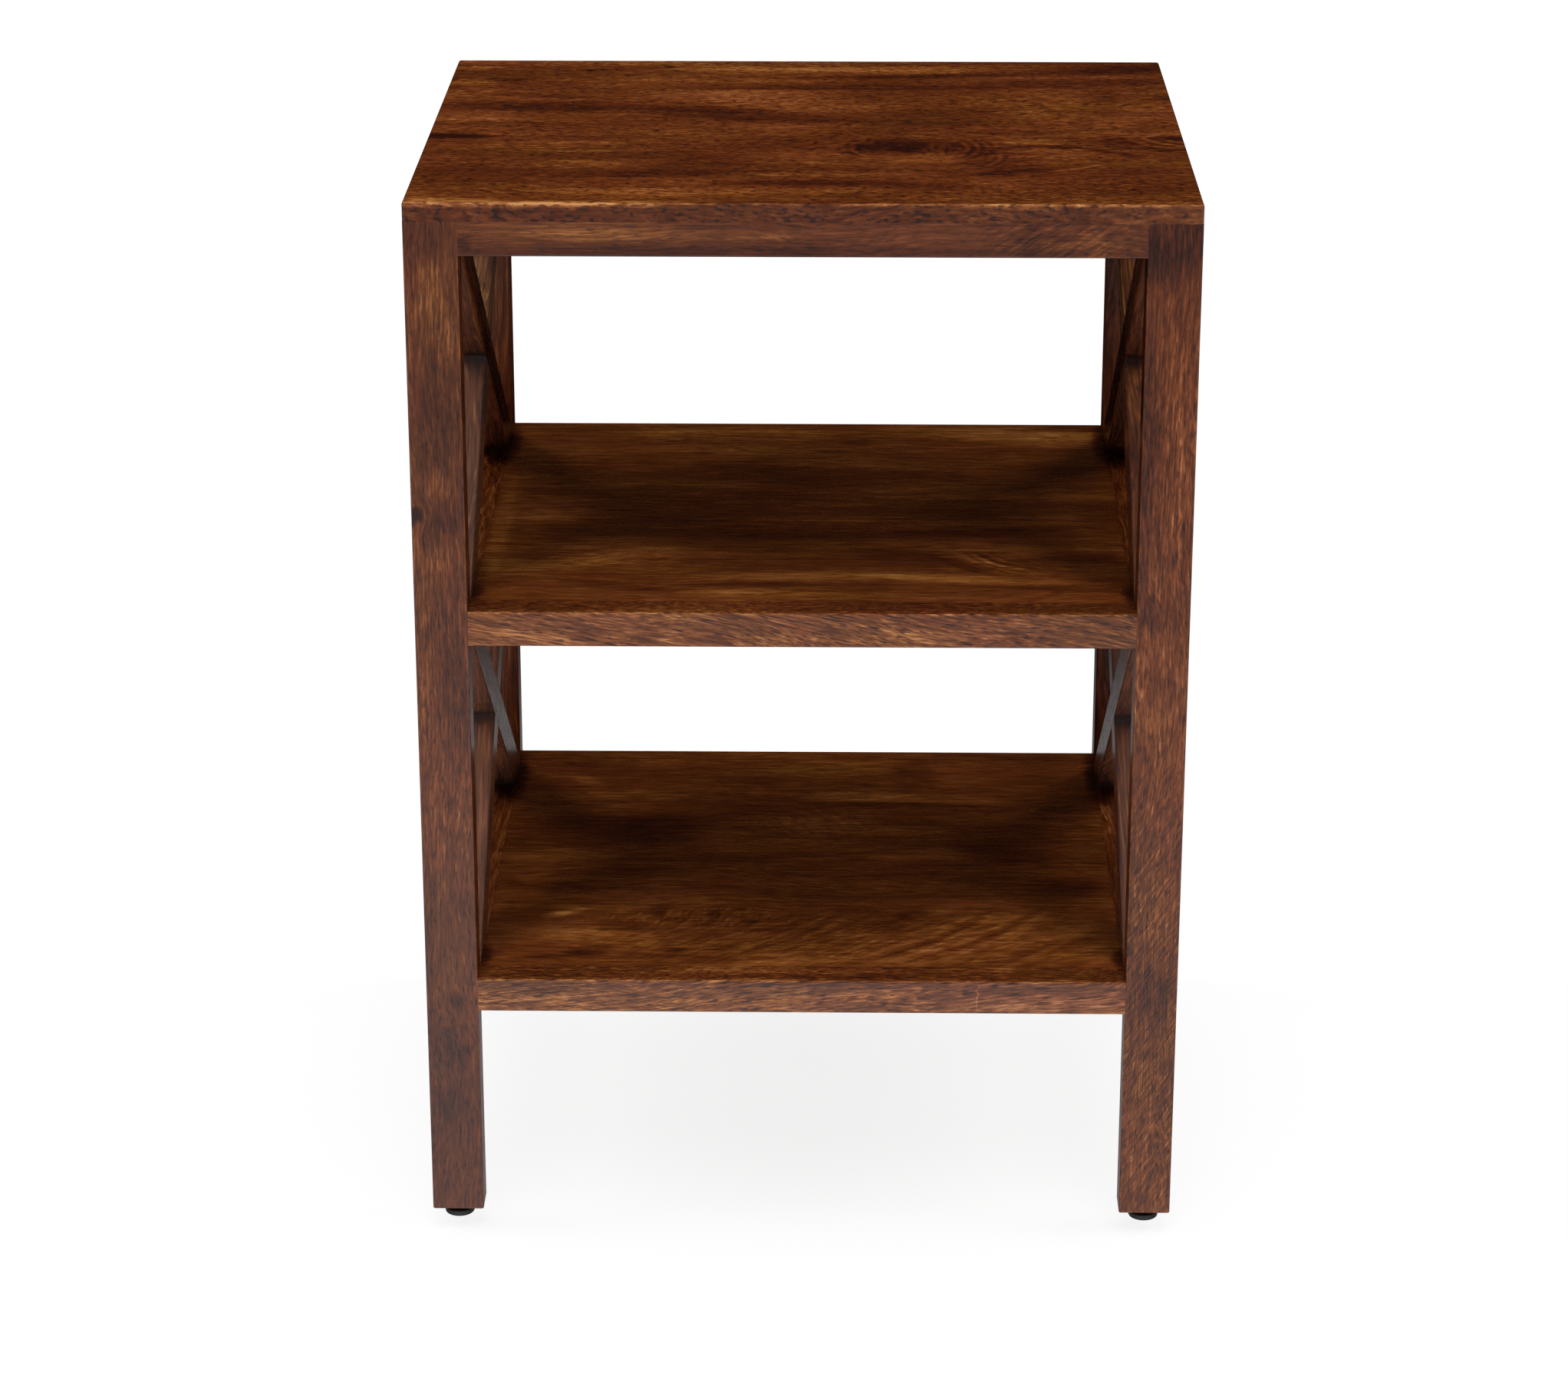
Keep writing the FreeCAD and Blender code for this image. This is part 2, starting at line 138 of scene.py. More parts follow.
# The grain is made of noises with a length, a width and a strength each. Their detail and roughness
# are the same on all pieces. Sizes are in mm along, across and through the grain.
STICK_GRAIN = {"cloud": (150, 40, 0.6), "streak": (120, 5, 0.4), "mottle": (11, 2.0, 0.5),
               "fibre": (28, 1.1, 0.75), "pore": (6, 1.0, 0.22), "relief": 0.15}
GRAIN_NOISES = {"cloud": (1.0, 0.5), "streak": (3.0, 0.7), "mottle": (2.0, 0.7), "fibre": (1.0, 0.6)}
PORE_START, PORE_FULL = 0.58, 0.70
SEED_SHIFT = (173.0, 61.0, 37.0)
BEND_SIZE, BEND_REACH = (140, 50, 50), (0, 26, 26)
RELIEF_LENGTH, RELIEF_WIDTH, RELIEF_METRES = 0.3, 1.2, 0.0002
MILLIMETRES = 1000
OBJECT_PLACE = 3

# What is listed one by one has a ragged border: the places it is read from sway along the grain.
RAGGED_SIZE = (24, 4, 4)
SWAY_ALONG, SWAY_ACROSS, EDGE_SWAY = 40, 12, 2.4
LARGE_SWAY, SMALL_SWAY, RING_SWAY = 1.0, 0.25, 0.08
SMALL_MARK = 7
MARK_CORE, MARK_RIM = 0.4, 1.4
KNOT_SWELL, KNOT_PUSH = 2.2, -0.7
UP, RIGHT, BACK = (0, 0, 1), (1, 0, 0), (0, 1, 0)
NO_TURN = (0, 0, 0)


def mark_mask(place, centre, radii, turn=NO_TURN):
    """1 in the core of an ellipsoid, smoothly 0 past its rim; turn is in degrees on each axis."""
    angles = tuple(math.radians(angle) for angle in turn)
    inside = place.node("Mapping", {"vector_type": "TEXTURE"},
                        {"Vector": place, "Location": centre, "Rotation": angles, "Scale": radii})
    return inside.measure("LENGTH", inside).ease(MARK_CORE, MARK_RIM, 1.0, 0.0)


def stained_wood(name, along, across, seed, tone=0.5, tan=0.2, grain=STICK_GRAIN, painted_sheen=0.0,
                 gloss=0.5, marks=(), knots=(), edges=(), flecks=(), rings=()):
    """Stained and lacquered wood, as one tone that runs from dark to light along two stain ramps.

    The tone is a level plus clouds, streaks, mottle and fibres, all noise drawn out along the
    grain, less pores, plus what is listed one by one. Grain gives each noise's length, width and
    strength, and how much relief the fibres have. Painted sheen is the share of grey mixed into the
    colour for the lacquer's reflected light, and gloss is the lacquer's reflection. Lengths are in mm.

    A mark is (tone, tan, centre, radii, turn).
    A knot is (centre, radii, tone): the grain bulges round it.
    An edge is (tone, tan, point, outward direction, width).
    Flecks are (tone, direction, length, width, mask centre, mask radii): strokes on a way of
    their own.
    Rings are (tone, centre, radius, period, spread, mask centre, mask radii): a cosine of the
    distance from the centre that fades out within the spread on both sides of the radius.
    """
    material, start = new_material(name)
    metres = start.node("TexCoord", None, None, OBJECT_PLACE)
    place = metres.vector("MULTIPLY", metres, (MILLIMETRES, MILLIMETRES, MILLIMETRES))
    through = Vector(along).cross(Vector(across))
    turn_to_grain = Matrix((along, across, through)).to_euler()
    lines = place.turned(turn_to_grain, [shift * seed for shift in SEED_SHIFT])
    bend = lines.noise(BEND_SIZE, detail=1.0)
    bent = bend.vector("MULTIPLY_ADD", bend, BEND_REACH, lines)
    ragged = lines.noise(RAGGED_SIZE, detail=3.0, roughness=0.65) - 0.5
    sway = SWAY_ALONG * Vector(along) + SWAY_ACROSS * Vector(across)
    feathered, wavering, steady = [ragged.vector("MULTIPLY_ADD", ragged, share * sway, place)
                                   for share in (LARGE_SWAY, SMALL_SWAY, RING_SWAY)]

    # Round each knot the grain is read from nearer the knot's middle, so its lines bulge there.
    for centre, radii, depth in knots:
        swell = mark_mask(place, centre, [KNOT_SWELL * radius for radius in radii])
        away = place.vector("SUBTRACT", place, centre)
        push = away.node("VectorMath", {"operation": "SCALE"}, {0: away, "Scale": swell * KNOT_PUSH})
        push = push.turned(turn_to_grain)
        push = push.vector("MULTIPLY", push, (0, 1, 1))
        bent = bent.vector("ADD", bent, push)

    # The tone of the wood itself.
    noises = {}
    for kind, (detail, rough) in GRAIN_NOISES.items():
        length, width, strength = grain[kind]
        source = lines if kind == "cloud" else bent
        noises[kind] = (source.noise((length, width, width), detail, rough) - 0.5) * strength
    length, width, strength = grain["pore"]
    pores = bent.noise((length, width, width), detail=0.0).ease(PORE_START, PORE_FULL) * strength
    level = noises["cloud"] + noises["streak"] + noises["mottle"] + noises["fibre"] + tone - pores

    # What is listed one by one adds to the tone, and some of it to the share of tan.
    for centre, radii, depth in knots:
        level = level + mark_mask(wavering, centre, radii) * depth
    for lift, centre, radius, period, spread, middle, radii in rings:
        away = steady.measure("DISTANCE", steady, centre) - radius
        wave = away.math("COSINE", away * (2 * math.pi / period))
        fade = away.math("ABSOLUTE", away).ease(0.0, spread, lift, 0.0)
        level = level + wave * fade * mark_mask(feathered, middle, radii)
    for lift, direction, length, width, centre, radii in flecks:
        turn = Vector(direction).rotation_difference(Vector(RIGHT)).to_euler()
        strokes = wavering.turned(turn).noise((length, width, width), detail=2.0, roughness=0.6)
        strokes = strokes - 0.5
        level = level + strokes * mark_mask(feathered, centre, radii) * lift
    warmth = (lines.noise(WARMTH_SIZE, detail=1.0) - 0.5) * WARMTH_RANGE + tan
    for lift, shift, centre, radii, turn in marks:
        mask = mark_mask(feathered if min(radii) > SMALL_MARK else wavering, centre, radii, turn)
        level = level + mask * lift
        if shift:
            warmth = warmth + mask * shift
    # Edges: dark joint lines, and light front arrises that are partly wear and partly painted
    # highlight.
    for lift, shift, point, outward, width in edges:
        depth = place.vector("SUBTRACT", place, point)
        depth = depth.measure("DOT_PRODUCT", depth, outward)
        edge_band = (depth + ragged * (EDGE_SWAY * width)).ease(-width, 0.0)
        level = level + edge_band * lift
        if shift:
            warmth = warmth + edge_band * shift

    # The tone picks a colour on both ramps; their mix may take in a grey painted sheen for reflected
    # light, and the lacquer lies over it.
    red = level.node("ValToRGB", {"stops": RED_STAIN}, {"Fac": level})
    colour = red.mix(warmth, level.node("ValToRGB", {"stops": TAN_STAIN}, {"Fac": level}))
    if painted_sheen:
        colour = colour.mix(painted_sheen, PAINTED_SHEEN_GREY)
    dulling = (noises["cloud"] + noises["mottle"]) * CLOUD_DULLING + pores * PORE_DULLING
    relief_size = (RELIEF_LENGTH * grain["fibre"][0], RELIEF_WIDTH, RELIEF_WIDTH)
    relief = lines.noise(relief_size, detail=1.0)
    normal = relief.node("Bump", None, {"Strength": grain["relief"], "Distance": RELIEF_METRES,
                                        "Height": relief})
    shader = start.node("BsdfPrincipled", None,
                        {"Base Color": colour, "Roughness": dulling + SATIN_ROUGHNESS,
                         "Normal": normal, "IOR": LACQUER_IOR, "Specular IOR Level": gloss})
    start.node("OutputMaterial", None, {"Surface": shader})
    return material


def finish_node(name, material):
    """Gives a CAD node its material."""
    mesh = nodes[name].data
    mesh.materials.clear()
    mesh.materials.append(material)


# Places on the table are in mm from the middle of the floor under it.
LEG_TOP = 625
FRONT_FACE = -190
MARK_DEPTH = 60


def leg_mark(lift, shift, x, drop, across, high, turn=0):
    """A mark on a leg's front face, a drop below the leg's top."""
    return lift, shift, (x, FRONT_FACE, LEG_TOP - drop), (across, MARK_DEPTH, high), (0, turn, 0)


def leg_flecks(lift, direction, length, width, x, drop, across, high):
    """Flecks on a leg's front face, round a place that is a drop below the leg's top."""
    return lift, direction, length, width, (x, FRONT_FACE, LEG_TOP - drop), (across, MARK_DEPTH, high)


LEFT_LEG_MARKS = [
    leg_mark(-0.14, -0.2, -210, 8, 26, 16), leg_mark(0.13, 0.15, -213, 42, 9, 14),
    leg_mark(0.1, 0.1, -199, 65, 6, 10), leg_mark(0.08, 0.15, -208, 55, 14, 28),
    leg_mark(-0.1, 0.1, -210, 115, 18, 38), leg_mark(0.16, 0.1, -208, 157, 9, 9),
    leg_mark(-0.18, -0.1, -203, 174, 8, 9, 30), leg_mark(-0.1, -0.1, -212, 180, 6, 10),
    leg_mark(0.14, 0.0, -211, 199, 12, 9), leg_mark(0.07, 0.0, -210, 320, 20, 140),
    leg_mark(0.1, 0.1, -212, 470, 12, 12), leg_mark(-0.16, -0.1, -208, 478, 8, 6),
    leg_mark(-0.2, -0.1, -210, 510, 11, 12), leg_mark(-0.18, -0.1, -211, 547, 10, 10),
    leg_mark(-0.14, -0.2, -210, 570, 24, 90)]
LEFT_LEG_KNOTS = [((-223, FRONT_FACE, LEG_TOP - 173), (5, 12, 5), -0.65)]
LEFT_LEG_FLECKS = [leg_flecks(1.0, UP, 12, 1.2, -210, 290, 30, 150),
                   leg_flecks(0.5, UP, 24, 1.4, -210, 50, 30, 40)]
RIGHT_LEG_MARKS = [
    leg_mark(-0.28, -0.4, 210, 6, 30, 30), leg_mark(-0.2, -0.2, 199, 22, 8, 14),
    leg_mark(0.1, 0.1, 212, 125, 9, 85), leg_mark(-0.14, -0.2, 196, 110, 5, 110),
    leg_mark(-0.18, -0.1, 203, 232, 14, 9), leg_mark(-0.12, -0.1, 208, 275, 10, 14),
    leg_mark(0.12, -0.1, 210, 330, 20, 110), leg_mark(0.06, 0.2, 212, 420, 18, 30),
    leg_mark(-0.04, -0.4, 210, 120, 30, 150), leg_mark(-0.1, -0.1, 207, 470, 18, 16),
    leg_mark(0.02, 0.1, 212, 530, 20, 60)]
RIGHT_LEG_FLECKS = [leg_flecks(1.1, UP, 14, 1.2, 210, 190, 30, 190),
                    leg_flecks(1.3, (0.5, 0, 0.87), 11, 1.3, 210, 500, 40, 170)]
BOLD_GRAIN = {"cloud": (150, 40, 0.8), "streak": (110, 5, 1.0), "mottle": (24, 2.4, 0.7),
              "fibre": (60, 1.4, 0.9), "pore": (9, 1.0, 0.2), "relief": 0.05}
finish_node("leg_front_left",
            stained_wood("leg_wood_front_left", UP, RIGHT, 1.3, tone=0.45, marks=LEFT_LEG_MARKS,
                         knots=LEFT_LEG_KNOTS, flecks=LEFT_LEG_FLECKS))
finish_node("leg_front_right",
            stained_wood("leg_wood_front_right", UP, RIGHT, 2.7, tone=0.47, gloss=0.4,
                         marks=RIGHT_LEG_MARKS, flecks=RIGHT_LEG_FLECKS))
for side, seed, tone in (("left", 4.1, 0.47), ("right", 5.6, 0.26)):
    finish_node(f"leg_back_{side}", stained_wood(f"leg_wood_back_{side}", UP, RIGHT, seed, tone=tone,
                                                 tan=0.0, grain=BOLD_GRAIN))


# Side rails: short rails of the same hardwood that tie the legs of each side together, at the
# two shelves and under the top. They are stained with the legs and glued in on stub tenons.
# Towards the back, where the braces end, they are painted darker as shade in that corner. The upper
# left one is lighter along its front part.
INSIDE_X = {"left": -197, "right": 197}
BRACE_HEEL = 126
SHELF_TOPS = {"lower": 160, "upper": 393}
RAIL_TOPS = {**SHELF_TOPS, "top": LEG_TOP}
for step, (level, high) in enumerate(RAIL_TOPS.items()):
    for side, seed in (("left", 6.2), ("right", 8.9)):
        node = f"{level}_rail_{side}"
        # Painted shade where the brace's heel meets the rail at the back.
        marks = [(-0.4, -0.1, (INSIDE_X[side], BRACE_HEEL - 6, high), (14, 24, 20), NO_TURN)]
        if node == "upper_rail_left":
            marks.append((0.26, 0.1, (INSIDE_X[side], -50, high), (14, 90, 20), NO_TURN))
        finish_node(node, stained_wood(f"{node}_wood", BACK, RIGHT, seed + 0.7 * step, tone=0.54,
                                       tan=0.1, grain=BOLD_GRAIN, marks=marks))


# Braces: crossed bars that fill each opening of the side frames, half-lapped where they meet and
# doweled into the corners. Their tones differ partly by board and partly as painted light and shade:
# the rising bars, whose upper faces catch the light, are lighter and the falling ones darker. A grey
# painted sheen stands for the light the lacquer reflects, and painted shade darkens the inner corner
# at the crossing, where some stain has also gathered, and the back ends.
BRACE_GRAIN = {"cloud": (150, 40, 0.6), "streak": (120, 6, 0.95), "mottle": (36, 3, 0.7),
               "fibre": (80, 1.4, 0.9), "pore": (18, 1.1, 0.25), "relief": 0.03}
BRACE_SLOPE = math.radians(35.5)
BRACE_ENDS = {"lower": (SHELF_TOPS["lower"], 372), "upper": (SHELF_TOPS["upper"], 605)}
CROSSING_FRONT = -21.5
# Tone and painted sheen of each bar; the rising bars' lighter tones are partly painted light.
RISING_LIGHT_AND_SHEEN = {("lower", "left"): (0.76, 0.20), ("upper", "left"): (0.50, 0.20),
                ("lower", "right"): (0.60, 0.18), ("upper", "right"): (0.58, 0.07)}
FALLING_SHADE_AND_SHEEN = {"lower": (0.52, 0.10), "upper": (0.37, 0.02)}
LIT_PATCH_TONE = {"left": 0.3, "right": -0.02}
for step, (tier, side) in enumerate(RISING_LIGHT_AND_SHEEN):
    low, high = BRACE_ENDS[tier]
    middle = (low + high) / 2
    x = INSIDE_X[side]
    for fall, name in ((1, "falling"), (-1, "rising")):
        tone, painted_sheen = FALLING_SHADE_AND_SHEEN[tier] if fall > 0 else RISING_LIGHT_AND_SHEEN[tier, side]
        along = (0, math.cos(BRACE_SLOPE), -fall * math.sin(BRACE_SLOPE))
        heel = (x, BRACE_HEEL, low if fall > 0 else high)
        # Painted shade in the inner corner at the crossing, over some gathered stain, and at the back
        # end.
        marks = [(-0.55, -0.1, (x, CROSSING_FRONT, middle), (14, 8, 6), NO_TURN),
                 (-0.5, -0.1, heel, (14, 22, 11), NO_TURN)]
        # Painted light: a tanner patch above the crossing, lighter on the left, where light comes in
        # through the open side.
        if tier == "upper" and name == "rising":
            above = (x, CROSSING_FRONT + 42, middle + 26)
            marks.append((LIT_PATCH_TONE[side], 0.9, above, (60, 36, 26), NO_TURN))
        node = f"{tier}_brace_{side}_{name}"
        seed = 7.4 + 1.9 * step + fall
        finish_node(node, stained_wood(f"{node}_wood", along, RIGHT, seed, tone=tone, tan=0.1,
                                       grain=BRACE_GRAIN, painted_sheen=painted_sheen, marks=marks))


# Shelves: four hardwood boards glued edge to edge, with a narrow strip along the front and the
# back that is tenoned between the legs. The stain lies cloudy on them, nearly black in places,
# and the front strip's face is lighter. A light line along the strip's upper edge is partly wear
# and partly painted highlight, and painted shade darkens the corners by the legs and a few spots
# where the braces' shadows fall.
PANEL_GRAIN = {"cloud": (150, 40, 0.5), "streak": (80, 11, 0.42), "mottle": (16, 3, 0.42),
               "fibre": (50, 1.7, 0.55), "pore": (12, 1.8, 0.12), "relief": 0.15}
STRIP_GRAIN = {"cloud": (150, 40, 0.5), "streak": (70, 4, 0.55), "mottle": (14, 1.5, 0.75),
               "fibre": (40, 0.9, 0.95), "pore": (8, 0.9, 0.36), "relief": 0.15}
SHELF_BOARDS = ("front_strip", "front_board", "front_middle_board", "back_middle_board",
                "back_board", "back_strip")
SHELF_HALF, TABLE_HALF = 195, 225
BACK_FACE = 190
SPOT_MARGIN = 12
GLUE_TONE, GLUE_WIDTH = -0.1, 0.7
FRONT_ARRIS = (0, -0.707, 0.707)


def board_marks(node, spots, half, high):
    """Those of a panel's spots that reach a board, as marks.

    A spot is (tone, tan, from the left end, from the back edge, radii, turn), seen from above.
    """
    low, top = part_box(node)
    front, back = low[1] * MILLIMETRES, top[1] * MILLIMETRES
    marks = []
    for lift, shift, x, y, wide, deep, turn in spots:
        middle = BACK_FACE - y
        reach = max(deep, wide * abs(math.sin(math.radians(turn)))) + SPOT_MARGIN
        if front - reach < middle < back + reach:
            centre = (x - half, middle, high)
            marks.append((lift, shift, centre, (wide, deep, MARK_DEPTH), (0, 0, turn)))
    return marks


def board_flecks(spots, half, high):
    """Flecks of a board from (tone, direction, length, width, from the left, from the back, radii)."""
    return [(lift, direction, length, width, (x - half, BACK_FACE - y, high), (wide, deep, MARK_DEPTH))
            for lift, direction, length, width, x, y, wide, deep in spots]


def board_rings(spots, half, high):
    """Rings of a board; their places are given from the left end and the back edge."""
    return [(lift, (x - half, BACK_FACE - y, high), radius, period, spread,
             (mask_x - half, BACK_FACE - mask_y, high), (wide, deep, MARK_DEPTH))
            for lift, x, y, radius, period, spread, mask_x, mask_y, wide, deep in spots]


def face_marks(spots, depth):
    """Marks on a front face from (tone, tan, from the table's left, height, radii, turn)."""
    return [(lift, shift, (x - TABLE_HALF, FRONT_FACE, z), (wide, depth, tall), (0, turn, 0))
            for lift, shift, x, z, wide, tall, turn in spots]


def glue_lines(node):
    """The thin dark line along each long edge of a board, front one first."""
    low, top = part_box(node)
    return [(GLUE_TONE, 0.0, (0, low[1] * MILLIMETRES, 0), (0, -1, 0), GLUE_WIDTH),
            (GLUE_TONE, 0.0, (0, top[1] * MILLIMETRES, 0), (0, 1, 0), GLUE_WIDTH)]


# Painted shade in the shelves' corners by the legs, darkest by the back legs.
SHELF_CORNER_SHADE = [(-0.5, -0.1, 1, 52, 7, 38, 0), (-0.5, -0.1, 389, 46, 7, 42, 0),
                 (-0.4, 0, 2, 345, 5, 16, 0), (-0.4, 0, 388, 345, 5, 16, 0)]
SHELF_SPOTS = {
    "upper": [
        (0.14, 0.2, 165, 28, 110, 18, 0), (0.18, 0.35, 335, 25, 55, 22, 0),
        (-0.1, -0.2, 222, 22, 26, 24, 0), (0.1, 0.2, 140, 55, 40, 9, 0),
        (0.1, 0.1, 215, 88, 45, 14, 0), (-0.16, 0, 210, 62, 14, 4, 0),
        (0.14, 0.1, 250, 207, 140, 2.5, -1), (0.12, 0, 300, 199, 90, 2, 0),
        (0.1, 0.1, 310, 213, 80, 1.8, 0), (-0.12, -0.2, 205, 232, 95, 14, 0),
        (-0.14, -0.1, 300, 228, 70, 7, 6), (0.16, 0.3, 95, 270, 34, 9, 6),
        (0.15, 0.3, 62, 288, 24, 10, 10), (0.18, 0.2, 205, 312, 85, 9, 2),
        (0.15, 0.2, 300, 318, 60, 7, -5), (-0.2, -0.2, 165, 328, 45, 5, 0),
        (-0.18, -0.2, 330, 333, 45, 4, -4), (0.12, 0.1, 160, 344, 70, 6, 0),
        (-0.16, -0.2, 90, 335, 38, 8, -14), (-0.22, -0.2, 360, 277, 35, 10, 0),
        (-0.2, -0.1, 290, 291, 28, 5, -45), (0.13, 0.1, 300, 283, 26, 4, -45),
        (-0.14, 0, 308, 279, 20, 2.5, -50), (0.12, 0.1, 320, 296, 22, 3, -35),
        (-0.14, -0.1, 255, 276, 26, 12, -20), (0.12, 0.2, 20, 300, 22, 22, 0),
        (0.16, 0.2, 11, 158, 10, 12, 0), (0.1, 0.3, 35, 207, 22, 12, 0),
        (0.16, 0.2, 9, 225, 7, 85, 0)],
    "lower": [
        (-0.05, 0.05, 195, 45, 200, 45, 0), (0.18, 0.3, 48, 56, 16, 7, -35),
        (0.1, 0.2, 215, 35, 50, 16, 0), (-0.18, -0.2, 160, 57, 22, 10, 0),
        (-0.12, -0.1, 268, 45, 16, 30, 0), (0.1, -0.1, 312, 35, 34, 20, 0),
        (0.15, 0.2, 230, 82, 50, 9, 0), (0.1, 0.1, 300, 87, 34, 5, -8),
        (-0.13, -0.1, 260, 97, 60, 4, -2), (0.1, -0.1, 205, 125, 40, 24, 0),
        # The dark spots at 98, 138, at 325, 180 and at 360, 235 lie where the braces' shadows fall:
        # partly darker stain and partly painted shade.
        (-0.22, -0.1, 98, 138, 36, 30, 0), (0.12, 0.3, 45, 186, 50, 12, 4),
        (-0.28, -0.2, 325, 180, 36, 14, -10), (-0.24, -0.2, 360, 235, 22, 20, 0),
        (0.1, 0.1, 240, 190, 70, 8, 4), (-0.15, -0.1, 60, 236, 40, 10, 6),
        (-0.12, -0.1, 75, 212, 40, 8, 8), (-0.1, 0, 220, 245, 60, 14, 0),
        (0.06, 0.1, 190, 310, 200, 44, 0), (0.24, 0.3, 41, 282, 9, 5, 20),
        (0.16, 0.2, 50, 278, 14, 4, 30), (0.1, 0.1, 50, 312, 40, 14, 0),
        (-0.3, 0, 62, 340, 12, 5, 0), (-0.25, 0, 40, 346, 22, 3, 6),
        (-0.2, 0, 140, 280, 5, 9, 0), (-0.18, 0, 105, 273, 12, 6, 30),
        (-0.22, 0, 163, 292, 6, 4, 0), (-0.22, 0, 116, 335, 9, 4, 0),
        (-0.16, -0.1, 85, 300, 14, 14, 0), (-0.16, -0.1, 258, 285, 28, 9, 55),
        (-0.14, -0.1, 345, 330, 30, 8, 30), (0.14, 0.1, 170, 355, 60, 7, 10),
        (0.14, 0.1, 190, 366, 70, 4, 0), (0.14, 0.2, 362, 305, 14, 8, 0)]}
SHELF_FLECKS = {
    "upper_shelf_front_board": [(0.6, (0.7, -0.71, 0), 16, 2.6, 308, 288, 34, 22),
                                (0.7, (0.9, 0.44, 0), 18, 2.6, 80, 280, 50, 20)],
    "lower_shelf_front_board": [(0.8, (0.8, 0.6, 0), 16, 2.6, 215, 318, 170, 46),
                                (0.9, (0.4, 0.92, 0), 12, 2.4, 130, 284, 60, 18)],
    "lower_shelf_back_middle_board": [(0.5, (-0.45, 0.89, 0), 16, 3.0, 205, 130, 50, 36)]}
SHELF_RINGS = {
    "lower_shelf_front_board": [(-0.13, 90, 215, 142, 14, 12, 185, 312, 62, 44),
                                (-0.18, 150, 190, 180, 15, 13, 270, 315, 66, 48),
                                (-0.17, 160, 170, 207, 15, 13, 305, 315, 70, 48),
                                (0.10, 160, 170, 246, 14, 11, 335, 338, 50, 30)],
    "upper_shelf_front_board": [(0.14, 345, 250, 52, 7, 14, 308, 286, 26, 22)]}
STRIP_ALONG = {"lower": (0.995, 0, 0.1), "upper": (0.982, 0, -0.19)}
STRIP_LIFT = {"lower": 0.16, "upper": 0.12}
STRIP_MARK_DEPTH = 12
STRIP_MARKS = {
    "lower": [(0.1, 0.0, 75, 146, 50, 5, 0), (0.12, 0.0, 165, 144, 50, 4, 0),
              (0.08, 0.0, 250, 150, 60, 3, -5), (0.1, 0.0, 350, 143.5, 30, 4, 0),
              (-0.16, -0.2, 370, 154, 45, 5, 0), (-0.1, -0.1, 230, 157, 150, 3, 0),
              (0.4, -0.4, 330.5, 150, 0.5, 9, 2)],
    "upper": [(0.1, 0.1, 60, 379, 34, 5, 8), (-0.1, -0.1, 210, 384, 60, 4, 4),
              (0.08, 0.1, 305, 381, 40, 4, 0), (-0.1, -0.1, 400, 386, 30, 6, 0)]}
STRIP_FLECKS = {
    "lower": [(1.0, (0.98, 0, 0.2), 10, 1.2, (40, FRONT_FACE, 150), (130, 60, 30)),
              (1.0, (0.98, 0, -0.17), 9, 1.2, (-150, FRONT_FACE, 150), (80, 60, 30))],
    "upper": [(0.8, (0.974, 0, -0.225), 26, 1.2, (-105, FRONT_FACE, 382), (120, 60, 30)),
              (0.8, (0.99, 0, -0.1), 9, 1.2, (110, FRONT_FACE, 382), (110, 60, 30))]}
for shelf, first_seed in (("lower", 10.0), ("upper", 20.0)):
    high = SHELF_TOPS[shelf]
    for step, board in enumerate(SHELF_BOARDS):
        node = f"{shelf}_shelf_{board}"
        seed = first_seed + 1.3 * step
        marks = board_marks(node, SHELF_SPOTS[shelf] + SHELF_CORNER_SHADE, SHELF_HALF, high)
        edges = glue_lines(node)
        end_line = 0.9 if "strip" in board else 2.4
        edges += [(-0.2, -0.1, (way * SHELF_HALF, 0, 0), (way, 0, 0), end_line) for way in (-1, 1)]
        if board == "front_strip":
            whole_face = (0, FRONT_FACE, high - 10), (900, 4, 40)
            marks.append((STRIP_LIFT[shelf], 0.05, *whole_face, NO_TURN))
            marks += face_marks(STRIP_MARKS[shelf], STRIP_MARK_DEPTH)
            # Along the strip's upper edge a light line, partly wear and partly painted highlight.
            edges = edges[1:] + [(0.24, 0.25, (0, FRONT_FACE, high), FRONT_ARRIS, 0.9)]
            wood = stained_wood(f"{node}_wood", STRIP_ALONG[shelf], BACK, seed, tan=0.32,
                                grain=STRIP_GRAIN, marks=marks, edges=edges,
                                flecks=STRIP_FLECKS[shelf])
        else:
            flecks = board_flecks(SHELF_FLECKS.get(node, ()), SHELF_HALF, high)
            rings = board_rings(SHELF_RINGS.get(node, ()), SHELF_HALF, high)
            wood = stained_wood(f"{node}_wood", RIGHT, BACK, seed, tone=0.56, tan=0.42,
                                grain=PANEL_GRAIN, marks=marks, edges=edges, flecks=flecks,
                                rings=rings)
        finish_node(node, wood)


# Cross rails: the front and back rails under the top, of the same hardwood, tenoned into the legs.
# The front one shows tan streaks along its middle and a patch of flame figure near its right end.
RAIL_GRAIN = {"cloud": (150, 40, 0.6), "streak": (120, 5, 0.4), "mottle": (14, 2.2, 0.4),
              "fibre": (40, 1.2, 0.55), "pore": (6, 1.0, 0.18), "relief": 0.15}
RAIL_MARK_DEPTH = 40
RAIL_MARKS = [(0.1, 0.2, 95, 617, 45, 4, 0), (0.12, 0.2, 160, 618, 80, 4, 0),
              (0.06, 0.1, 230, 617, 60, 4, 0), (-0.14, -0.15, 225, 607.5, 240, 4.5, 0),
              (-0.16, -0.1, 352, 614, 12, 8, -30), (0.12, 0.2, 390, 616, 26, 8, 0),
              (-0.3, 0, 34, 612, 5, 5, 0)]
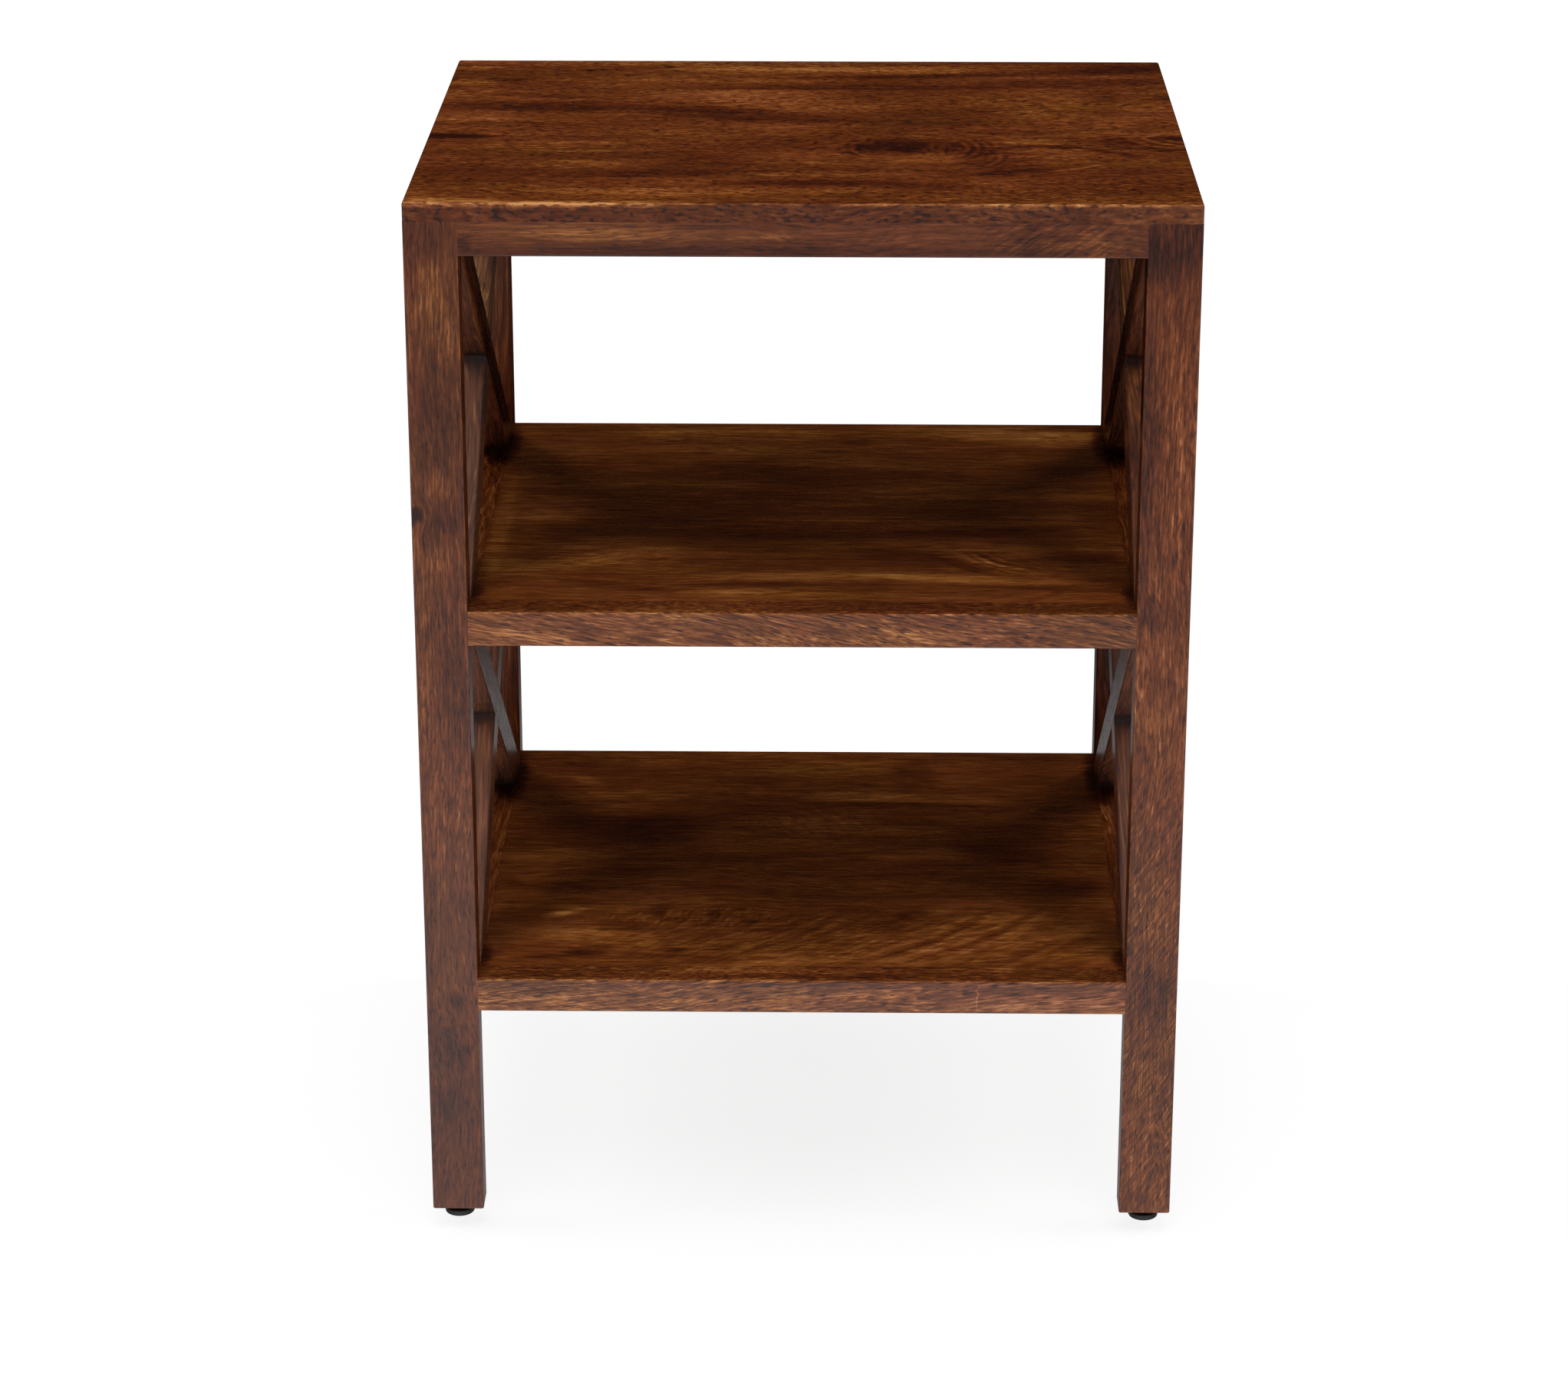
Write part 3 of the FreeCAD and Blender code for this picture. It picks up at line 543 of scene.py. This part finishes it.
RAIL_FLECKS = [(1.1, (0.85, 0, 0.53), 14, 1.5, (143, FRONT_FACE, 616), (44, 60, 30)),
               (0.6, RIGHT, 34, 1.4, (-70, FRONT_FACE, 616), (150, 60, 30))]
finish_node("top_rail_front",
            stained_wood("cross_rail_wood_front", RIGHT, UP, 31.0, grain=RAIL_GRAIN,
                         marks=face_marks(RAIL_MARKS, RAIL_MARK_DEPTH), flecks=RAIL_FLECKS))
finish_node("top_rail_back",
            stained_wood("cross_rail_wood_back", RIGHT, UP, 33.0, tone=0.54, grain=BOLD_GRAIN))


# Top: four hardwood boards glued edge to edge, with eased edges. A light line along the front
# arris is partly wear and partly painted highlight. Screws through the rails hold it down. The
# second board from the front has a dark knot with rippled grain beside it, an eye and half a swirl.
TOP_GRAIN = {"cloud": (150, 40, 0.55), "streak": (70, 10, 0.36), "mottle": (7, 2.8, 0.75),
             "fibre": (13, 1.7, 0.65), "pore": (4.5, 2.0, 0.34), "relief": 0.15}
TOP_SURFACE = 636
TOP_SPOTS = [
    (0.14, 0.2, 205, 27, 75, 6, 0), (0.07, 0.1, 250, 25, 100, 10, 0),
    (-0.24, -0.15, 300, 45, 80, 6, 5), (-0.29, -0.2, 420, 27, 45, 13, 8),
    (-0.24, -0.2, 260, 78, 110, 7, 1), (-0.22, -0.2, 400, 65, 70, 12, 6),
    (0.1, 0.2, 180, 60, 60, 8, 0), (-0.22, -0.1, 38, 58, 18, 6, 0),
    (0.17, 0.2, 15, 68, 18, 8, 0), (0.17, 0.2, 15, 25, 14, 8, 0),
    (-0.54, 0, 86, 31, 3, 3.4, 0), (-0.48, 0, 137, 22, 3, 3, 0),
    (0.24, 0.2, 141, 25, 6, 3, 0), (0.14, 0, 215, 96, 80, 10, 0),
    (0.18, -0.1, 200, 112, 70, 20, -12), (-0.19, -0.2, 60, 105, 40, 6, -8),
    (-0.19, -0.2, 60, 135, 75, 12, -4), (-0.29, -0.2, 165, 143, 40, 9, -6),
    (-0.18, -0.2, 190, 160, 70, 14, -10), (-0.17, -0.1, 410, 105, 14, 22, 0),
    (-0.26, -0.1, 447, 105, 10, 10, 0), (-0.08, 0, 290, 165, 50, 26, 0),
    (0.06, 0.3, 350, 120, 90, 20, 0), (0.1, 0.3, 370, 150, 30, 20, 0),
    (-0.6, -0.3, 10, 215, 30, 6, -2), (0.12, -0.2, 25, 165, 30, 12, 0),
    (0.07, -0.2, 220, 190, 30, 20, 0), (-0.12, -0.1, 352, 203, 28, 7, 0),
    (-0.2, -0.2, 257, 252, 9, 18, -20), (-0.1, -0.5, 282, 232, 26, 14, 0),
    (-0.22, -0.5, 322, 244, 18, 22, 0), (-0.26, -0.5, 336, 270, 24, 26, 20),
    (-0.12, -0.2, 346, 300, 18, 8, 30), (-0.26, -0.3, 351, 240, 14, 4.5, 14),
    (-0.28, -0.3, 378, 240, 20, 4, -6), (-0.26, -0.3, 405, 253, 22, 4.5, -30),
    (0.19, 0.5, 360, 227, 22, 8, 0), (0.16, 0.1, 387, 290, 20, 2.4, 32),
    (-0.14, -0.2, 420, 300, 34, 8, 4), (-0.2, -0.3, 412, 226, 8, 18, 20),
    (-0.2, -0.3, 432, 244, 22, 5, -8), (-0.38, -0.2, 444, 215, 12, 6, 0),
    (0.12, 0.2, 90, 240, 80, 8, 0), (0.14, 0.2, 110, 252, 70, 3, 1),
    (0.12, 0.2, 80, 232, 60, 3, 0), (-0.12, -0.1, 155, 262, 40, 12, 0),
    (-0.24, -0.15, 150, 308, 60, 9, 4), (-0.14, 0, 160, 285, 40, 14, 10),
    (0.22, 0.2, 95, 280, 20, 4, -8), (0.12, 0.1, 225, 282, 40, 4, -4),
    (-0.19, -0.1, 345, 302, 40, 6, 18), (0.14, 0.2, 285, 276, 14, 3, 0),
    (0.12, 0.2, 240, 310, 60, 6, 0), (-0.24, -0.2, 230, 331, 60, 7, 0),
    (-0.17, -0.2, 300, 338, 30, 12, 0), (-0.1, -0.2, 400, 340, 60, 16, 0),
    (0.12, 0.1, 150, 352, 90, 10, 0), (0.26, 0.5, 14, 373, 44, 5, 0),
    (0.17, 0.3, 95, 376, 80, 3, 0)]
# A light line along the front arris, partly wear and partly painted highlight, brightest at the left,
# and a faint darker band on the edge face below it.
TOP_EDGE_WEAR_AND_HIGHLIGHTS = [(0.34, 0.3, (-165, FRONT_FACE, TOP_SURFACE), (110, 3, 3), NO_TURN),
            (0.2, 0.2, (100, FRONT_FACE, TOP_SURFACE), (90, 2.5, 2.5), NO_TURN),
            (-0.05, -0.1, (20, FRONT_FACE, TOP_SURFACE - 6), (400, 3, 8), NO_TURN)]
TOP_KNOTS = [((281 - TABLE_HALF, BACK_FACE - 242, TOP_SURFACE), (27, 19, MARK_DEPTH), -0.34),
             ((286 - TABLE_HALF, BACK_FACE - 246, TOP_SURFACE), (13, 10, MARK_DEPTH), -0.2)]
TOP_RINGS = [(0.17, 281, 243, 46, 6, 18, 322, 242, 20, 22),
             (0.16, 281, 243, 28, 8, 10, 255, 250, 12, 18),
             (0.20, 455, 206, 30, 9, 26, 428, 224, 34, 26),
             (0.15, 368, 276, 16, 5, 12, 368, 264, 18, 12),
             (0.16, 300, 262, 40, 6, 12, 340, 276, 20, 18)]
TOP_FLECKS = {"front_middle": [(0.7, (0.25, 0.97, 0), 16, 3.2, 320, 243, 20, 22)],
              "front": [(0.9, (0.92, -0.39, 0), 7, 2.4, 375, 345, 90, 32)]}
for step, board in enumerate(("front", "front_middle", "back_middle", "back")):
    node = f"top_board_{board}"
    marks = board_marks(node, TOP_SPOTS, TABLE_HALF, TOP_SURFACE)
    edges = glue_lines(node)
    flecks = board_flecks(TOP_FLECKS.get(board, ()), TABLE_HALF, TOP_SURFACE)
    knots, rings, gloss = (), (), 0.5
    if board == "front":
        # Along the front arris a light line, partly wear and partly painted highlight.
        edges = edges[1:] + [(0.3, 0.3, (0, FRONT_FACE, TOP_SURFACE), FRONT_ARRIS, 1.1)]
        marks += TOP_EDGE_WEAR_AND_HIGHLIGHTS
        gloss = 0.42
    if board == "front_middle":
        knots = TOP_KNOTS
        rings = board_rings(TOP_RINGS, TABLE_HALF, TOP_SURFACE)
    seed = 40.0 + 1.7 * step
    finish_node(node, stained_wood(f"top_wood_{board}", RIGHT, BACK, seed, tone=0.53, tan=0.15,
                                   grain=TOP_GRAIN, gloss=gloss, marks=marks, knots=knots,
                                   edges=edges, flecks=flecks, rings=rings))


# Dowels: beech pegs with chamfered ends, glued in, that pin the shelves to the side rails and
# the braces into the corners of the side frames. They are hidden, so they were never stained.
dowel_wood = stained_wood("dowel_wood_plain", RIGHT, BACK, 51.0, tone=1.0)
for name in nodes:
    if "dowels" in name:
        finish_node(name, dowel_wood)


# Screws: countersunk steel wood screws with a crossed recess, zinc plated, driven up through the
# rails to hold the top. Their heads sit a little way up in the rails' undersides.
SPECK_DARK, SPECK_LIGHT, SPECK_SPREAD = 0.3, 0.7, 0.2
SPECK_RELIEF, SPECK_METRES = 0.2, 0.0001


def plain_finish(name, colour, roughness, metallic, grain):
    """Even finish with a fine noise in its colour and roughness; grain is the noise's size in mm."""
    material, start = new_material(name)
    place = start.node("TexCoord", None, None, OBJECT_PLACE)
    speck = place.node("TexNoise", None,
                       {"Vector": place, "Scale": MILLIMETRES / grain, "Detail": 3.0})
    shades = [(level, tuple(share * part for part in colour[:3]) + (1,))
              for level, share in ((SPECK_DARK, 1 - SPECK_SPREAD), (SPECK_LIGHT, 1 + SPECK_SPREAD))]
    tint = speck.node("ValToRGB", {"stops": shades}, {"Fac": speck})
    normal = speck.node("Bump", None, {"Strength": SPECK_RELIEF, "Distance": SPECK_METRES,
                                       "Height": speck})
    shader = start.node("BsdfPrincipled", None,
                        {"Base Color": tint, "Roughness": (speck - 0.5) * SPECK_SPREAD + roughness,
                         "Metallic": metallic, "Normal": normal})
    start.node("OutputMaterial", None, {"Surface": shader})
    return material


plated_steel = plain_finish("plated_steel", paint(150, 150, 146), roughness=0.35, metallic=1.0,
                            grain=0.6)
finish_node("top_screws", plated_steel)


# Threaded inserts: plated steel bushes, pressed up into the end of each leg for the feet's stems.
# Only their rims show, from right below.
finish_node("foot_inserts", plated_steel)


# Levelling feet: a moulded black plastic pad that snaps over the ball of a plated steel stem.
# The stem has a hexagon for a spanner and screws into the leg's insert.
pad_plastic = plain_finish("foot_plastic_black", paint(26, 24, 24), roughness=0.55, metallic=0.0,
                           grain=0.8)
for end in ("front", "back"):
    for side in ("left", "right"):
        finish_node(f"foot_pad_{end}_{side}", pad_plastic)
        finish_node(f"foot_stem_{end}_{side}", plated_steel)


# Studio: a plain pale floor that glows, as a light table does, so that shadows stay soft, in a
# white room. It lies just below the feet's full reach. Only reflections show the other sheets,
# which glow as painted reflections: a white card in front of the table, brighter near it, a grey
# one under it that fades out towards the back, and a nearly black ceiling.
scene = bpy.context.scene
FLOOR_REACH = 30.0
FLOOR_DROP, CARD_DROP = -0.0085, -0.001
CARD_SPLIT, CARD_END = -0.19, 1.0
CEILING = 6.0
PAPER_ROUGHNESS = 0.9


def glowing(name, albedo, glow, near_glow=None, near_end=0.0, far_start=1.0):
    """Matt paper that glows evenly, or with a smooth step from a near glow, on Y in metres."""
    material, start = new_material(name)
    emission = (glow, glow, glow, 1)
    if near_glow is not None:
        place = start.node("TexCoord", None, None, OBJECT_PLACE)
        depth = start.node("SeparateXYZ", None, {"Vector": place}, 1)
        emission = depth.ease(near_end, far_start, near_glow, glow)
    paper = start.node("BsdfPrincipled", None,
                       {"Base Color": (albedo, albedo, albedo, 1), "Roughness": PAPER_ROUGHNESS,
                        "Specular IOR Level": 0.0, "Emission Strength": 1.0,
                        "Emission Color": emission})
    start.node("OutputMaterial", None, {"Surface": paper})
    return material


def level_sheet(name, near, far, high, paper, reflected):
    """A level sheet as wide as the floor, seen by the camera and soft light or in reflections."""
    mesh = bpy.data.meshes.new(f"studio_{name}")
    corners = [(-FLOOR_REACH, near, high), (FLOOR_REACH, near, high),
               (FLOOR_REACH, far, high), (-FLOOR_REACH, far, high)]
    mesh.from_pydata(corners, [], [(0, 1, 2, 3)])
    mesh.materials.append(paper)
    sheet = bpy.data.objects.new(f"studio_{name}", mesh)
    sheet.visible_glossy = reflected
    sheet.visible_camera = sheet.visible_diffuse = sheet.visible_shadow = not reflected
    scene.collection.objects.link(sheet)


floor_paper = glowing("floor_paper", albedo=0.15, glow=0.85)
white_card = glowing("white_card", albedo=0.0, glow=1.05, near_glow=0.29, near_end=-2.1, far_start=-0.4)
grey_card = glowing("grey_card", albedo=0.0, glow=0.0, near_glow=0.30, near_end=0.5, far_start=CARD_END)
dark_ceiling = glowing("dark_ceiling", albedo=0.0, glow=0.0065)
level_sheet("floor", -FLOOR_REACH, FLOOR_REACH, FLOOR_DROP, floor_paper, reflected=False)
level_sheet("white_card", -FLOOR_REACH, CARD_SPLIT, CARD_DROP, white_card, reflected=True)
level_sheet("grey_card", CARD_SPLIT, CARD_END, CARD_DROP, grey_card, reflected=True)
level_sheet("ceiling", -FLOOR_REACH, FLOOR_REACH, CEILING, dark_ceiling, reflected=True)

# Each lamp has a strength, the width of its disc, a lean from straight down and a swing, in degrees.
LAMPS = {"front": (1.7, 40, 27, 0), "back": (0.8, 40, -25, 0), "left": (1.1, 25, 44, -90),
         "right": (1.1, 25, 44, 90), "fill": (0.95, 40, 75, 0)}
for name, (strength, spread, lean, swing) in LAMPS.items():
    lamp = bpy.data.lights.new(f"studio_{name}", "SUN")
    lamp.energy = strength
    lamp.angle = math.radians(spread)
    light = bpy.data.objects.new(f"studio_{name}", lamp)
    light.rotation_euler = (math.radians(lean), 0, math.radians(swing))
    light.visible_glossy = name == "front"
    scene.collection.objects.link(light)

world = bpy.data.worlds.new("studio")
world.use_nodes = True
sky = world.node_tree.nodes["Background"]
sky.inputs["Color"].default_value = (1, 1, 1, 1)
sky.inputs["Strength"].default_value = 1.0
scene.world = world
world.cycles_visibility.diffuse = world.cycles_visibility.glossy = False
scene.view_settings.view_transform = "Standard"

IMAGE_WIDTH = 2044
FOCAL_PIXELS = 5561.5
CAMERA_PLACE = (0.0225, -2.5228, 1.2134)
LOOK_DOWN, LOOK_LEFT = 20.48, 0.807
lens = bpy.data.cameras.new("photograph")
lens.sensor_fit = "HORIZONTAL"
lens.sensor_width = 36.0
lens.lens = lens.sensor_width * FOCAL_PIXELS / IMAGE_WIDTH
camera = bpy.data.objects.new("photograph", lens)
camera.location = CAMERA_PLACE
camera.rotation_euler = (math.radians(90 - LOOK_DOWN), 0, math.radians(LOOK_LEFT))
scene.collection.objects.link(camera)
scene.camera = camera
